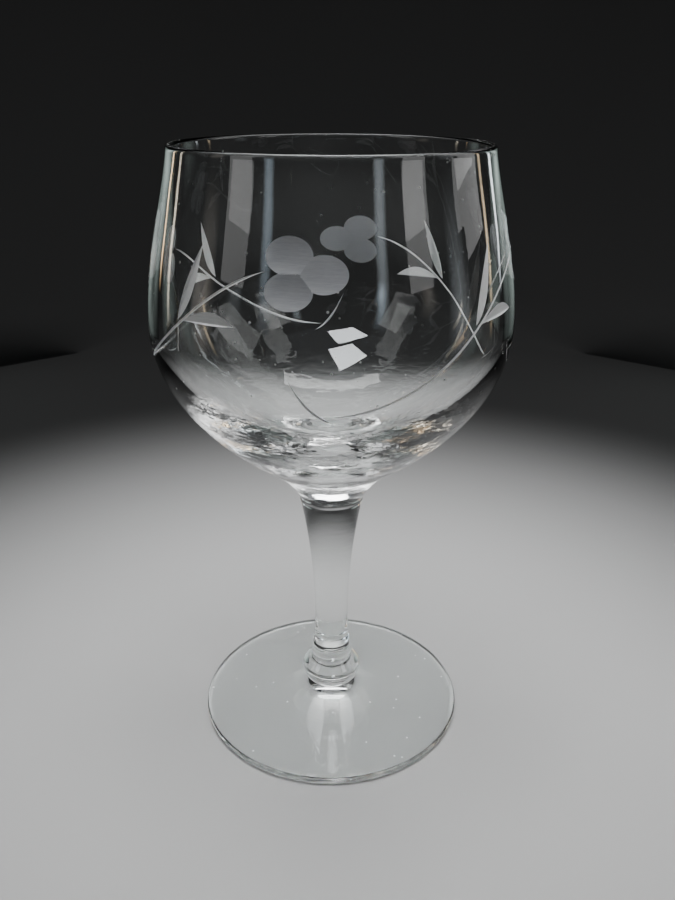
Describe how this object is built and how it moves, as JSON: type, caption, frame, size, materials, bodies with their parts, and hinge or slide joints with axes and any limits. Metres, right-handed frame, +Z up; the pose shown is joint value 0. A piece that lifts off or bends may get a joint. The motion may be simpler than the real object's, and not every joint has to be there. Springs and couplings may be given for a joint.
{
  "type": "wine glass",
  "caption": "Stemmed clear wine goblet with a round bowl cut with berries, stalks and leaves, a tapered solid stem, a collar and a disc foot.",
  "frame": {"origin": "centre of the plane that the foot stands on", "axes": "+Z up through the stem to the rim, -Y towards the front, +X to the right seen from the front"},
  "size_m": [0.0912, 0.0912, 0.16],
  "materials": {
    "bowl_glass": "gloss",
    "stem_glass": "gloss",
    "collar_glass": "gloss",
    "foot_glass": "gloss"
  },
  "bodies": {
    "root": {"foot": "foot_glass", "collar": "collar_glass", "stem": "stem_glass", "bowl": "bowl_glass"}
  },
  "joints": []
}
